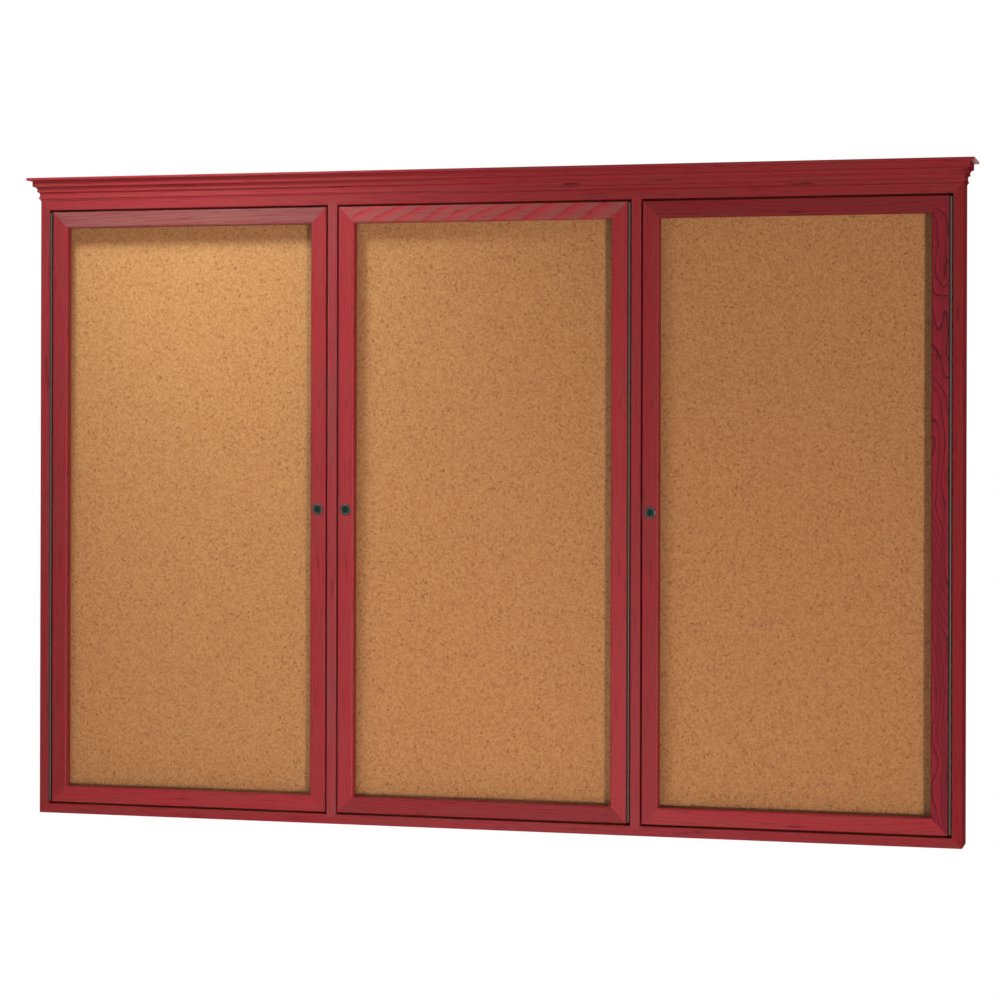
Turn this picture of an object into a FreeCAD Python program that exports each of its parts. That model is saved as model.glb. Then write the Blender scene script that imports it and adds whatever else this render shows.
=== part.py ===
import FreeCAD, Part
import math
import os

# Lockable notice board: a wall-hung hardwood case with three glazed, locking
# doors over cork panels, and a moulded crown on top. Millimetres, +Z up.
# The front of the board faces -Y. The origin is the middle of the wall rail's
# back face, so the plane Y = 0 is the wall.

Vector = FreeCAD.Vector

# Case boards
case_width = 1828.8
case_height = 1219.2
case_depth = 69.85
board_thickness = 19.05
board_edge_radius = 1.6

# Each bay with its door: its name, and +1 where the hinge is on the right
bay_plan = [("left", -1), ("middle", 1), ("right", 1)]

# Back panel and cork, from the wall forwards
wall_recess = 12.7
panel_thickness = 6.35
panel_groove = 6.0
cork_thickness = 6.35
sheet_fit = 0.3
divider_dado = 6.0

# Door frames
door_thickness = 19.05
member_width = 31.75
outer_edge_radius = 1.6
sight_edge_radius = 4.5
lip_thickness = 9.5
rabbet_width = 6.35
door_gap = 4.0
lock_side_gap = 3.2

# Glazing
glass_thickness = 3.2
glass_edge_gap = 0.8
bead_fit = 0.15
bead_edge_radius = 1.5

# Full-length hinges
knuckle_pitch = 12.7
knuckle_radius = 3.2
knuckle_end_gap = 0.3
knuckle_side_gap = 0.4
leaf_thickness = 1.2
leaf_width = 16.0
notch_relief = 0.5
pin_radius = 1.19
pin_fit = 0.06

# Flat-head wood screws in hinge leaves and strike plates
screw_shank_radius = 1.4
screw_head_radius = 2.6
screw_head_depth = 1.1
screw_point_length = 2.5
screw_pitch = 101.6
screw_end_margin = 25.0
screw_row_inset = 5.0

# Cam locks
plug_radius = 7.0
plug_fit = 0.05
plug_recess = 0.5
keyway_width = 1.6
keyway_height = 8.6
keyway_depth = 9.0
barrel_wall = 1.65
barrel_fit = 0.1
barrel_stand_out = 0.3
bezel_overhang = 2.4
bezel_thickness = 2.4
bezel_chamfer = 0.9
nut_wall = 1.8
nut_thickness = 2.4
tail_width = 7.0
tail_fit = 0.05
tail_head_radius = 5.0
tail_head_thickness = 1.2
cam_thickness = 2.4
cam_wall = 2.5
cam_tip_gap = 0.9

# Strike plates, which also stop the closed doors
strike_thickness = 1.6
strike_lip_height = 24.0
strike_height = 44.0
strike_depth = 18.0
strike_screw_spacing = 32.0
strike_screw_inset = 10.0
lip_nut_gap = 1.6
stop_gap = 0.3

# Crown moulding, its members from the case top upwards
crown_back_thickness = 12.7
foot_reach = 0.8
foot_height = 3.0
bead_projection = 2.2
bead_height = 5.0
bead_radius = 1.4
neck_projection = 0.8
neck_height = 9.0
lower_cove_radius = 4.0
cove_land = 0.4
fillet_height = 2.5
waist_setback = 0.8
waist_height = 8.0
upper_cove_radius = 7.0
top_band_height = 11.5

# Crown cap, and the glue blocks under it
cap_thickness = 5.5
cap_overhang = 9.6
cap_edge_radius = 1.8
glue_block_leg = 18.0
glue_block_length = 60.0
glue_block_count = 5

# Hanging rails behind the back panel
rail_height = 63.5
rail_end_gap = 1.0
wall_rail_end = 50.8
batten_height = 38.0
wall_hole_radius = 2.75
wall_sink_radius = 5.5
wall_sink_depth = 3.0
wall_hole_count = 4
stud_spacing = 406.4

# Depths, from the front of the case to the wall
case_front = -case_depth
lip_back = case_front + lip_thickness
glass_back = lip_back + glass_thickness
door_back = case_front + door_thickness
strike_front = door_back + stop_gap
panel_back = -wall_recess
panel_front = panel_back - panel_thickness
cork_front = panel_front - cork_thickness
leaf_back = case_front + leaf_width
screw_row = leaf_back - screw_row_inset

# Levels
wall_rail_top = rail_height / 2
hook_low = wall_rail_top - wall_recess
inner_top = hook_low + rail_height
case_top = inner_top + board_thickness
case_bottom = case_top - case_height
inner_bottom = case_bottom + board_thickness
case_middle = (case_top + case_bottom) / 2
bead_top = foot_height + bead_height
fillet_bottom = bead_top + neck_height
fillet_top = fillet_bottom + fillet_height
waist_top = fillet_top + waist_height
crown_height = waist_top + top_band_height
crown_level = case_top + crown_height

# Places across the case, and reaches of the crown in front of the case face
case_left = -case_width / 2
case_right = case_width / 2
inner_left = case_left + board_thickness
inner_right = case_right - board_thickness
bay_width = (inner_right - inner_left - (len(bay_plan) - 1) * board_thickness) / len(bay_plan)
bead_reach = foot_reach + bead_projection
neck_reach = foot_reach + neck_projection
fillet_reach = neck_reach + lower_cove_radius + cove_land
waist_reach = fillet_reach - waist_setback
crown_reach = waist_reach + upper_cove_radius + cove_land
cap_reach = crown_reach + cap_overhang

# Doors, hinges and locks
hinge_half_gap = knuckle_radius + knuckle_side_gap
door_width = bay_width - 2 * hinge_half_gap - lock_side_gap
door_height = inner_top - inner_bottom - 2 * door_gap
knuckle_count = int(door_height / knuckle_pitch)
hinge_length = knuckle_pitch * knuckle_count
hinge_bottom = case_middle - hinge_length / 2
screws_per_leaf = int((hinge_length - 2 * screw_end_margin) / screw_pitch) + 1
screw_length = board_thickness / 2
lock_setback = lock_side_gap + member_width / 2
barrel_radius = plug_radius + plug_fit + barrel_wall
bezel_radius = barrel_radius + bezel_overhang
bezel_front = case_front - bezel_thickness
nut_across_flats = 2 * (barrel_radius + nut_wall)
nut_back = door_back + nut_thickness
barrel_back = nut_back + barrel_stand_out
cam_back = barrel_back + cam_thickness
cam_width = tail_width + 2 * cam_wall
cam_reach = lock_setback - strike_thickness - cam_tip_gap
strike_lip_reach = lock_setback - nut_across_flats / 2 - lip_nut_gap
tolerance = 0.01

parts = {}


def save(name, shape):
    parts[name] = shape


def around(middle, size):
    """The two ends of a size centred on a middle."""
    return (middle - size / 2, middle + size / 2)


def block(x_ends, y_ends, z_ends):
    """A box between two values on each axis, given in either order."""
    low = Vector(min(x_ends), min(y_ends), min(z_ends))
    high = Vector(max(x_ends), max(y_ends), max(z_ends))
    size = high - low
    return Part.makeBox(size.x, size.y, size.z, low)


def round_bar(radius, x, z, y_front, y_back):
    """A cylinder along Y."""
    return Part.makeCylinder(radius, y_back - y_front, Vector(x, y_front, z), Vector(0, 1, 0))


def outline(corners, place):
    """A closed wire through corners (a, b, radius), rounded where the radius is over 0.

    The function place turns a point of the outline's own plane into a point in space.
    """
    count = len(corners)
    bends = []
    for index, (a, b, radius) in enumerate(corners):
        here = Vector(a, b, 0)
        if radius <= 0:
            bends.append((here, None, here))
            continue
        before = Vector(corners[index - 1][0], corners[index - 1][1], 0)
        after = Vector(corners[(index + 1) % count][0], corners[(index + 1) % count][1], 0)
        to_before = (before - here).normalize()
        to_after = (after - here).normalize()
        half_angle = to_before.getAngle(to_after) / 2
        setback = radius / math.tan(half_angle)
        bisector = (to_before + to_after).normalize()
        middle = here + bisector * (radius / math.sin(half_angle) - radius)
        bends.append((here + to_before * setback, middle, here + to_after * setback))
    edges = []
    for index, (enter, middle, leave) in enumerate(bends):
        if middle is not None:
            edges.append(Part.Arc(place(enter), place(middle), place(leave)).toShape())
        next_enter = bends[(index + 1) % count][0]
        if (next_enter - leave).Length > tolerance:
            edges.append(Part.LineSegment(place(leave), place(next_enter)).toShape())
    return Part.Wire(edges)


def extruded(corners, place, direction):
    return Part.Face(outline(corners, place)).extrude(direction)


def prism_along_x(corners_yz, x_ends):
    start, end = x_ends
    return extruded(corners_yz, lambda p: Vector(start, p.x, p.y), Vector(end - start, 0, 0))


def prism_along_y(corners_xz, y_ends):
    start, end = y_ends
    return extruded(corners_xz, lambda p: Vector(p.x, start, p.y), Vector(0, end - start, 0))


def prism_along_z(corners_xy, z_ends):
    start, end = z_ends
    return extruded(corners_xy, lambda p: Vector(p.x, p.y, start), Vector(0, 0, end - start))


def mitred_frame(centre_x, width, height, section):
    """Four mitred bars round a rectangle about the case's middle level, by side.

    The section's corners are (distance inwards from the rectangle, y, radius).
    """
    margin = 1
    inset = max(corner[0] for corner in section) + margin
    depth = (min(corner[1] for corner in section) - margin, max(corner[1] for corner in section) + margin)
    left, right = around(centre_x, width)
    bottom, top = around(case_middle, height)
    up = Vector(0, 0, height)
    along = Vector(width, 0, 0)
    bars = {
        "left": extruded(section, lambda p: Vector(left + p.x, p.y, bottom), up),
        "right": extruded(section, lambda p: Vector(right - p.x, p.y, bottom), up),
        "top": extruded(section, lambda p: Vector(left, p.y, top - p.x), along),
        "bottom": extruded(section, lambda p: Vector(left, p.y, bottom + p.x), along),
    }
    outer = [(left, bottom, 0), (right, bottom, 0), (right, top, 0), (left, top, 0)]
    inner = [
        (left + inset, bottom + inset, 0),
        (right - inset, bottom + inset, 0),
        (right - inset, top - inset, 0),
        (left + inset, top - inset, 0),
    ]
    wedges = {
        "bottom": [outer[0], outer[1], inner[1], inner[0]],
        "right": [outer[1], outer[2], inner[2], inner[1]],
        "top": [outer[2], outer[3], inner[3], inner[2]],
        "left": [outer[3], outer[0], inner[0], inner[3]],
    }
    return {side: bars[side].common(prism_along_y(wedges[side], depth)) for side in bars}


def flat_head_screw(face_x, y, z, sense):
    """A screw driven along X, sense +1 towards +X, its head flush with the plane x = face_x."""
    drive = Vector(sense, 0, 0)
    base = Vector(face_x, y, z)
    head = Part.makeCone(screw_head_radius, screw_shank_radius, screw_head_depth, base, drive)
    point_start = screw_length - screw_point_length
    shank_length = point_start - screw_head_depth
    shank = Part.makeCylinder(screw_shank_radius, shank_length, base + drive * screw_head_depth, drive)
    point = Part.makeCone(screw_shank_radius, 0, screw_point_length, base + drive * point_start, drive)
    return head.fuse([shank, point]).removeSplitter()


class Bay:
    """Where one bay's pieces stand across the case. Its sense is +1 where it hinges on the right."""

    def __init__(self, index, name, sense):
        self.name = name
        self.sense = sense
        self.left = inner_left + index * (bay_width + board_thickness)
        self.right = self.left + bay_width
        hinge_face = self.right if sense > 0 else self.left
        self.lock_face = self.left if sense > 0 else self.right
        self.pin_x = hinge_face - sense * hinge_half_gap
        self.lock_x = self.lock_face + sense * lock_setback
        hinge_edge = self.pin_x - sense * hinge_half_gap
        lock_edge = self.lock_face + sense * lock_side_gap
        self.door_middle = (hinge_edge + lock_edge) / 2
        self.hinge_side = "right" if sense > 0 else "left"
        self.lock_side = "left" if sense > 0 else "right"


def door_members(bay):
    """The door's four mitred members, by side, rabbeted for the glass."""
    rabbet = member_width - rabbet_width
    section = [
        (0, door_back, 0),
        (0, case_front, outer_edge_radius),
        (member_width, case_front, sight_edge_radius),
        (member_width, lip_back, 0),
        (rabbet, lip_back, 0),
        (rabbet, door_back, 0),
    ]
    return mitred_frame(bay.door_middle, door_width, door_height, section)


def glass_pane(bay):
    border = member_width - rabbet_width + glass_edge_gap
    width = around(bay.door_middle, door_width - 2 * border)
    height = around(case_middle, door_height - 2 * border)
    return block(width, (lip_back, glass_back), height)


def glazing_beads(bay):
    """Four mitred beads that hold the glass in the rabbet."""
    border = member_width - rabbet_width + bead_fit
    bead_width = rabbet_width - bead_fit
    section = [
        (0, door_back, 0),
        (0, glass_back, 0),
        (bead_width, glass_back, 0),
        (bead_width, door_back, bead_edge_radius),
    ]
    beads = mitred_frame(bay.door_middle, door_width - 2 * border, door_height - 2 * border, section)
    return Part.makeCompound(list(beads.values()))


def hinge_leaf(pin_x, sense, first_knuckle):
    """One hinge leaf, lying against the wood at sense from the pin, with every second knuckle."""
    margin = 1
    wood = pin_x + sense * hinge_half_gap
    length = (hinge_bottom, hinge_bottom + hinge_length)
    plate = block((wood, wood - sense * leaf_thickness), (case_front, leaf_back), length)
    base = Vector(pin_x, case_front, hinge_bottom)
    barrel = Part.makeCylinder(knuckle_radius, hinge_length, base)
    bore = Part.makeCylinder(pin_radius + pin_fit, hinge_length, base)
    notch_width = (pin_x - sense * (knuckle_radius + margin), wood + sense * margin)
    notch_depth = (case_front - knuckle_radius - margin, case_front + knuckle_radius + notch_relief)
    notches = []
    for index in range(1 - first_knuckle, knuckle_count, 2):
        middle = hinge_bottom + (index + 0.5) * knuckle_pitch
        notches.append(block(notch_width, notch_depth, around(middle, knuckle_pitch + knuckle_end_gap)))
    leaf = plate.fuse(barrel).removeSplitter()
    return leaf.cut([bore] + notches)


def leaf_screws(pin_x, sense):
    """The row of screws that holds the hinge leaf at sense from the pin."""
    face_x = pin_x + sense * (hinge_half_gap - leaf_thickness)
    lowest = case_middle - screw_pitch * (screws_per_leaf - 1) / 2
    levels = [lowest + screw_pitch * index for index in range(screws_per_leaf)]
    return [flat_head_screw(face_x, screw_row, level, sense) for level in levels]


def lock_housing(x):
    """The lock's ring on the door's face, with the barrel that goes through the door."""
    bezel = round_bar(bezel_radius, x, case_middle, bezel_front, case_front)
    rim = [edge for edge in bezel.Edges if edge.BoundBox.YMax < bezel_front + tolerance]
    bezel = bezel.makeChamfer(bezel_chamfer, rim)
    barrel = round_bar(barrel_radius, x, case_middle, case_front, barrel_back)
    plug_bore = round_bar(plug_radius + plug_fit, x, case_middle, bezel_front, barrel_back)
    return bezel.fuse(barrel).removeSplitter().cut(plug_bore)


def lock_nut(x):
    """The hexagon nut that clamps the housing behind the door, two flats upright."""
    corner_radius = nut_across_flats / math.sqrt(3)
    corners = []
    for corner in range(6):
        angle = math.radians(60 * corner + 30)
        across = corner_radius * math.cos(angle)
        upwards = corner_radius * math.sin(angle)
        corners.append((x + across, case_middle + upwards, 0))
    nut = prism_along_y(corners, (door_back, nut_back))
    return nut.cut(round_bar(barrel_radius, x, case_middle, door_back, nut_back))


def lock_plug(x):
    """The turning plug: keyway in front, square tail and its spread head at the back."""
    plug_front = bezel_front + plug_recess
    plug = round_bar(plug_radius, x, case_middle, plug_front, barrel_back)
    tail = block(around(x, tail_width), (barrel_back, cam_back), around(case_middle, tail_width))
    tail_head = round_bar(tail_head_radius, x, case_middle, cam_back, cam_back + tail_head_thickness)
    keyway = block(
        around(x, keyway_width), (plug_front, plug_front + keyway_depth), around(case_middle, keyway_height))
    return plug.fuse([tail, tail_head]).removeSplitter().cut(keyway)


def lock_cam(x):
    """The cam on the plug's tail. It points up, which is unlocked."""
    tip_level = case_middle + cam_reach - cam_width / 2
    depth = (barrel_back, cam_back)
    arm = block(around(x, cam_width), depth, (case_middle, tip_level))
    tip = round_bar(cam_width / 2, x, tip_level, barrel_back, cam_back)
    heel = round_bar(cam_width / 2, x, case_middle, barrel_back, cam_back)
    hole_width = tail_width + 2 * tail_fit
    hole = block(around(x, hole_width), depth, around(case_middle, hole_width))
    return arm.fuse([tip, heel]).removeSplitter().cut(hole)


def strike_plate(bay):
    """An angle plate on the divider. Its lip stands out between the closed door and the cam."""
    face = bay.lock_face
    plate = block((face, face + bay.sense * strike_thickness), (strike_front, strike_front + strike_depth),
                  around(case_middle, strike_height))
    lip = block((face, face + bay.sense * strike_lip_reach), (strike_front, strike_front + strike_thickness),
                around(case_middle, strike_lip_height))
    return plate.fuse(lip).removeSplitter()


def strike_screws(bay):
    head_x = bay.lock_face + bay.sense * strike_thickness
    row = strike_front + strike_screw_inset
    return [flat_head_screw(head_x, row, z, -bay.sense) for z in around(case_middle, strike_screw_spacing)]


def crown_section():
    """The crown's section: reach in front of the case face, height above the case top, radius."""
    bead_corner = min(bead_radius, bead_projection - neck_projection)
    return [
        (-crown_back_thickness, 0, 0),
        (foot_reach, 0, 0),
        (foot_reach, foot_height, 0),
        (bead_reach, foot_height, bead_corner),
        (bead_reach, bead_top, bead_corner),
        (neck_reach, bead_top, 0),
        (neck_reach, fillet_bottom, lower_cove_radius),
        (fillet_reach, fillet_bottom, 0),
        (fillet_reach, fillet_top, 0),
        (waist_reach, fillet_top, 0),
        (waist_reach, waist_top, upper_cove_radius),
        (crown_reach, waist_top, 0),
        (crown_reach, crown_height, 0),
        (-crown_back_thickness, crown_height, 0),
    ]


def crown_front():
    """The crown along the front, mitred at both ends."""
    length = Vector(case_width + 2 * crown_reach, 0, 0)
    start = case_left - crown_reach
    bar = extruded(crown_section(), lambda p: Vector(start, case_front - p.x, case_top + p.y), length)
    plan = [
        (case_left - crown_reach, case_front - crown_reach, 0),
        (case_right + crown_reach, case_front - crown_reach, 0),
        (case_right - crown_back_thickness, case_front + crown_back_thickness, 0),
        (case_left + crown_back_thickness, case_front + crown_back_thickness, 0),
    ]
    return bar.common(prism_along_z(plan, (case_top, crown_level)))


def crown_return(end_x, sense):
    """The crown round one end of the case, from the mitre back to the wall."""
    length = Vector(0, case_front - crown_reach, 0)
    bar = extruded(crown_section(), lambda p: Vector(end_x + sense * p.x, 0, case_top + p.y), length)
    plan = [
        (end_x + sense * crown_reach, case_front - crown_reach, 0),
        (end_x - sense * crown_back_thickness, case_front + crown_back_thickness, 0),
        (end_x - sense * crown_back_thickness, 0, 0),
        (end_x + sense * crown_reach, 0, 0),
    ]
    return bar.common(prism_along_z(plan, (case_top, crown_level)))


def crown_cap():
    """The thin board on top, rounded along its front and ends."""
    cap = block(around(0, case_width + 2 * cap_reach), (case_front - cap_reach, 0),
                (crown_level, crown_level + cap_thickness))
    edges = [edge for edge in cap.Edges if edge.BoundBox.YMin < -tolerance]
    return cap.makeFillet(cap_edge_radius, edges)


def glue_blocks():
    """Triangular blocks in the corner between the crown's back and the cap."""
    front = case_front + crown_back_thickness
    section = [
        (front, crown_level, 0),
        (front + glue_block_leg, crown_level, 0),
        (front, crown_level - glue_block_leg, 0),
    ]
    spacing = case_width / glue_block_count
    middles = [case_left + (index + 0.5) * spacing for index in range(glue_block_count)]
    blocks = [prism_along_x(section, around(middle, glue_block_length)) for middle in middles]
    return Part.makeCompound(blocks)


def divider(bay):
    """The upright on the bay's right, let into the top and bottom boards."""
    section = [
        (bay.right, panel_front, 0),
        (bay.right, case_front, board_edge_radius),
        (bay.right + board_thickness, case_front, board_edge_radius),
        (bay.right + board_thickness, panel_front, 0),
    ]
    return prism_along_z(section, (inner_bottom - divider_dado, inner_top + divider_dado))


def wall_rail():
    """The rail screwed to the wall. Its bevelled top carries the case's hanging rail."""
    section = [
        (0, hook_low, 0),
        (panel_back, wall_rail_top, 0),
        (panel_back, wall_rail_top - rail_height, 0),
        (0, wall_rail_top - rail_height, 0),
    ]
    hole_span = (wall_hole_count - 1) * stud_spacing
    rail = prism_along_x(section, around(0, hole_span + 2 * wall_rail_end))
    for index in range(wall_hole_count):
        hole_x = index * stud_spacing - hole_span / 2
        hole = round_bar(wall_hole_radius, hole_x, 0, panel_back, 0)
        sink = Part.makeCone(wall_sink_radius, wall_hole_radius, wall_sink_depth,
                             Vector(hole_x, panel_back, 0), Vector(0, 1, 0))
        rail = rail.cut([hole, sink])
    return rail


def hanging_rail(length):
    """The case's rail. Its bevelled foot hooks over the wall rail."""
    section = [
        (0, inner_top, 0),
        (panel_back, inner_top, 0),
        (panel_back, wall_rail_top, 0),
        (0, hook_low, 0),
    ]
    return prism_along_x(section, length)


# Doors with their hinges, locks and cork, bay by bay
bays = [Bay(index, name, sense) for index, (name, sense) in enumerate(bay_plan)]
case_screws = []
strike_plates = []
hinge_pins = []
for bay in bays:
    save("cork_" + bay.name, block((bay.left + sheet_fit, bay.right - sheet_fit), (cork_front, panel_front),
                                   (inner_bottom + sheet_fit, inner_top - sheet_fit)))

    door_leaf_screws = leaf_screws(bay.pin_x, -bay.sense)
    members = door_members(bay)
    barrel_hole = round_bar(barrel_radius + barrel_fit, bay.lock_x, case_middle, case_front, door_back)
    save(bay.name + "_hinge_stile", members[bay.hinge_side].cut(door_leaf_screws))
    save(bay.name + "_lock_stile", members[bay.lock_side].cut(barrel_hole))
    save(bay.name + "_top_rail", members["top"])
    save(bay.name + "_bottom_rail", members["bottom"])
    save(bay.name + "_glass", glass_pane(bay))
    save(bay.name + "_glazing_beads", glazing_beads(bay))

    case_leaf_screws = leaf_screws(bay.pin_x, bay.sense)
    save(bay.name + "_hinge_case_leaf", hinge_leaf(bay.pin_x, bay.sense, 0).cut(case_leaf_screws))
    save(bay.name + "_hinge_door_leaf", hinge_leaf(bay.pin_x, -bay.sense, 1).cut(door_leaf_screws))
    save(bay.name + "_hinge_screws", Part.makeCompound(door_leaf_screws))
    pin_foot = Vector(bay.pin_x, case_front, hinge_bottom)
    hinge_pins.append(Part.makeCylinder(pin_radius, hinge_length, pin_foot))

    save(bay.name + "_lock_housing", lock_housing(bay.lock_x))
    save(bay.name + "_lock_nut", lock_nut(bay.lock_x))
    save(bay.name + "_lock_plug", lock_plug(bay.lock_x))
    save(bay.name + "_lock_cam", lock_cam(bay.lock_x))

    plate_screws = strike_screws(bay)
    strike_plates.append(strike_plate(bay).cut(plate_screws))
    case_screws += case_leaf_screws + plate_screws

save("strike_plates", Part.makeCompound(strike_plates))
save("hinge_pins", Part.makeCompound(hinge_pins))
save("case_screws", Part.makeCompound(case_screws))

# Case boards, mitred at the corners, grooved for the back panel
dividers = [divider(bay) for bay in bays[:-1]]
board_section = [
    (0, 0, 0),
    (0, case_front, board_edge_radius),
    (board_thickness, case_front, board_edge_radius),
    (board_thickness, 0, 0),
]
groove = block((inner_left - panel_groove, inner_right + panel_groove), (panel_front, panel_back),
               (inner_bottom - panel_groove, inner_top + panel_groove))
boards = mitred_frame(0, case_width, case_height, board_section)
boards = {side: boards[side].cut([groove] + dividers) for side in boards}
save("side_board_left", boards["left"].cut(case_screws))
save("side_board_right", boards["right"].cut(case_screws))
save("top_board", boards["top"])
save("bottom_board", boards["bottom"])
save("divider_left", dividers[0].cut(case_screws))
save("divider_right", dividers[1].cut(case_screws))
tongue = panel_groove - sheet_fit
save("back_panel", block((inner_left - tongue, inner_right + tongue), (panel_front, panel_back),
                         (inner_bottom - tongue, inner_top + tongue)))

# Crown
save("crown_front", crown_front())
save("crown_return_left", crown_return(case_left, -1))
save("crown_return_right", crown_return(case_right, 1))
save("crown_cap", crown_cap())
save("crown_glue_blocks", glue_blocks())

# Rails at the wall
rail_length = (inner_left + rail_end_gap, inner_right - rail_end_gap)
save("wall_rail", wall_rail())
save("hanging_rail", hanging_rail(rail_length))
save("bottom_batten", block(rail_length, (panel_back, 0), (inner_bottom, inner_bottom + batten_height)))

os.makedirs("parts", exist_ok=True)
for name, shape in parts.items():
    shape.exportStep("parts/" + name + ".step")
print(len(parts), "nodes")
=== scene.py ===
"""Finishes, fine pieces, light and camera for the lockable notice board."""

import logging
import math
from dataclasses import dataclass
from enum import Enum
from typing import Any, Callable

import bmesh
import bpy
from mathutils import Matrix, Vector


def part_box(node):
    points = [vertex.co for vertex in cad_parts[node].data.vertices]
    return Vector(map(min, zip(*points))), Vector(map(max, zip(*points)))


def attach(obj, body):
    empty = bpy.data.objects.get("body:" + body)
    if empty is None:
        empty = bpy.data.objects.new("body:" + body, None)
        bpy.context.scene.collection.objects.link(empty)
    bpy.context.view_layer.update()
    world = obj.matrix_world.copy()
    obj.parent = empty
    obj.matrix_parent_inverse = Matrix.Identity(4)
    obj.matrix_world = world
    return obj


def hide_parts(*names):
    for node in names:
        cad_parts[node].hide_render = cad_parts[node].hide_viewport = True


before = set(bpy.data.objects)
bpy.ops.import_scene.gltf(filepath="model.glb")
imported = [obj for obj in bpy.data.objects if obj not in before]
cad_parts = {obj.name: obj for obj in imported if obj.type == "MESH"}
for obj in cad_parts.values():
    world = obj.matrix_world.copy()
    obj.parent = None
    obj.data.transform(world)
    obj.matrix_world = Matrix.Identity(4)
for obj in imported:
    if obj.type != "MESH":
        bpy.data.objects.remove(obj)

LOG = logging.getLogger("notice_board")
MM = 0.001
WHITE = (1.0, 1.0, 1.0, 1.0)
# How strongly varnish mirrors: satin on most boards, and none on the right-hand side board and
# crown return, whose slanting sheen is left out so that they stay dark, a painted shade.
SATIN = 0.12
MATT_FOR_SHADE = 0.0
# The cosine from which a face looks along an axis.
FACING = 0.9
# How many millimetres away a point still lies on a plane, or is the same as another.
NEAR = 0.01
SAME = 0.001


class Grain(Enum):
    """Which way a board's grain runs, as the turn that lays it along the pattern's X."""

    UPRIGHT = (0.0, math.pi / 2, 0.0)
    LEVEL = (0.0, 0.0, 0.0)
    DEEP = (0.0, 0.0, -math.pi / 2)


class Tone(Enum):
    """How a board took the stain: its late wood, spring wood and pore colours."""

    CRIMSON = ("#a6262f", "#8e3833", "#56131b")
    DUSKY = ("#963f41", "#93584f", "#5f2427")
    FLAMED = ("#ad2b33", "#8b4943", "#5c2024")
    WILD = ("#b32a38", "#7f2129", "#3d0d14")


@dataclass(frozen=True)
class Sawing:
    """How a board lay in its trunk and how its rings show, in millimetres and degrees.

    Attributes:
        behind: How far the pith lies behind the wall's plane.
        aside: How far the pith lies to the side of the board's middle.
        pitch: How far apart the rings are.
        wander: How far the rings wander.
        run_out: How steeply the rings run out of the board's edge.
        sway: How many times in a metre the rings wander across the board.
        ragged: How strong the finer wandering is against the coarser.
        detail: How many finer layers the wandering has.
        figure: How much of the spring wood's colour shows.
        line: How much the row of pores darkens a ring's start.
    """

    behind: float = 100.0
    aside: float = 70.0
    pitch: float = 6.0
    wander: float = 12.0
    run_out: float = 0.0
    sway: float = 12.0
    ragged: float = 0.45
    detail: float = 2.0
    figure: float = 0.5
    line: float = 0.3


class Cut(Enum):
    """The sawings among the doors' members: striped, wild and broadly flamed."""

    RIFT = Sawing()
    WILD = Sawing(
        behind=96.0,
        aside=22.0,
        pitch=9.0,
        wander=36.0,
        run_out=7.0,
        sway=7.0,
        ragged=0.55,
        detail=2.8,
        line=0.9,
    )
    BROAD = Sawing(aside=220.0, pitch=24.0, wander=14.0, run_out=30.0, figure=0.9)


class Bay(Enum):
    """The board's three bays, named as in the model."""

    LEFT = "left"
    MIDDLE = "middle"
    RIGHT = "right"


def linear(colour: str) -> tuple[float, float, float, float]:
    """Turn an sRGB hex colour into the linear colour that a shader takes.

    Args:
        colour: The colour as "#rrggbb".

    Returns:
        Linear red, green and blue, with an alpha of 1.
    """
    shares = [int(colour[at : at + 2], 16) / 255 for at in (1, 3, 5)]
    curved = [s / 12.92 if s <= 0.04045 else ((s + 0.055) / 1.055) ** 2.4 for s in shares]
    return (curved[0], curved[1], curved[2], 1.0)


def add_node(
    tree: bpy.types.NodeTree,
    kind: str,
    inputs: dict[str | int, Any] | None = None,
    **settings: Any,
) -> bpy.types.Node:
    """Add a node with its settings, its fixed inputs and its links.

    Args:
        tree: The node tree that gets the node.
        kind: Blender's name of the node type.
        inputs: For each input, the value it holds or the output socket that feeds it.
        settings: The node's own properties.

    Returns:
        The new node.
    """
    node = tree.nodes.new(kind)
    for name, value in settings.items():
        setattr(node, name, value)
    for key, value in (inputs or {}).items():
        if isinstance(value, bpy.types.NodeSocket):
            tree.links.new(value, node.inputs[key])
        else:
            node.inputs[key].default_value = value
    return node


def new_material(name: str) -> tuple[bpy.types.Material, bpy.types.NodeTree]:
    """Start a material with an empty node tree.

    Args:
        name: The finish it is named for.

    Returns:
        The material and its tree.
    """
    material = bpy.data.materials.new(name)
    material.use_nodes = True
    material.node_tree.nodes.clear()
    return material, material.node_tree


def dress(piece: bpy.types.Object, material: bpy.types.Material) -> None:
    """Put one material on all of a piece.

    Args:
        piece: The CAD node or new piece.
        material: The finish it gets.
    """
    if not piece.material_slots:
        piece.data.materials.append(material)
    for place in piece.material_slots:
        place.material = material
    LOG.info("dressed %s with %s", piece.name, material.name)


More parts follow.
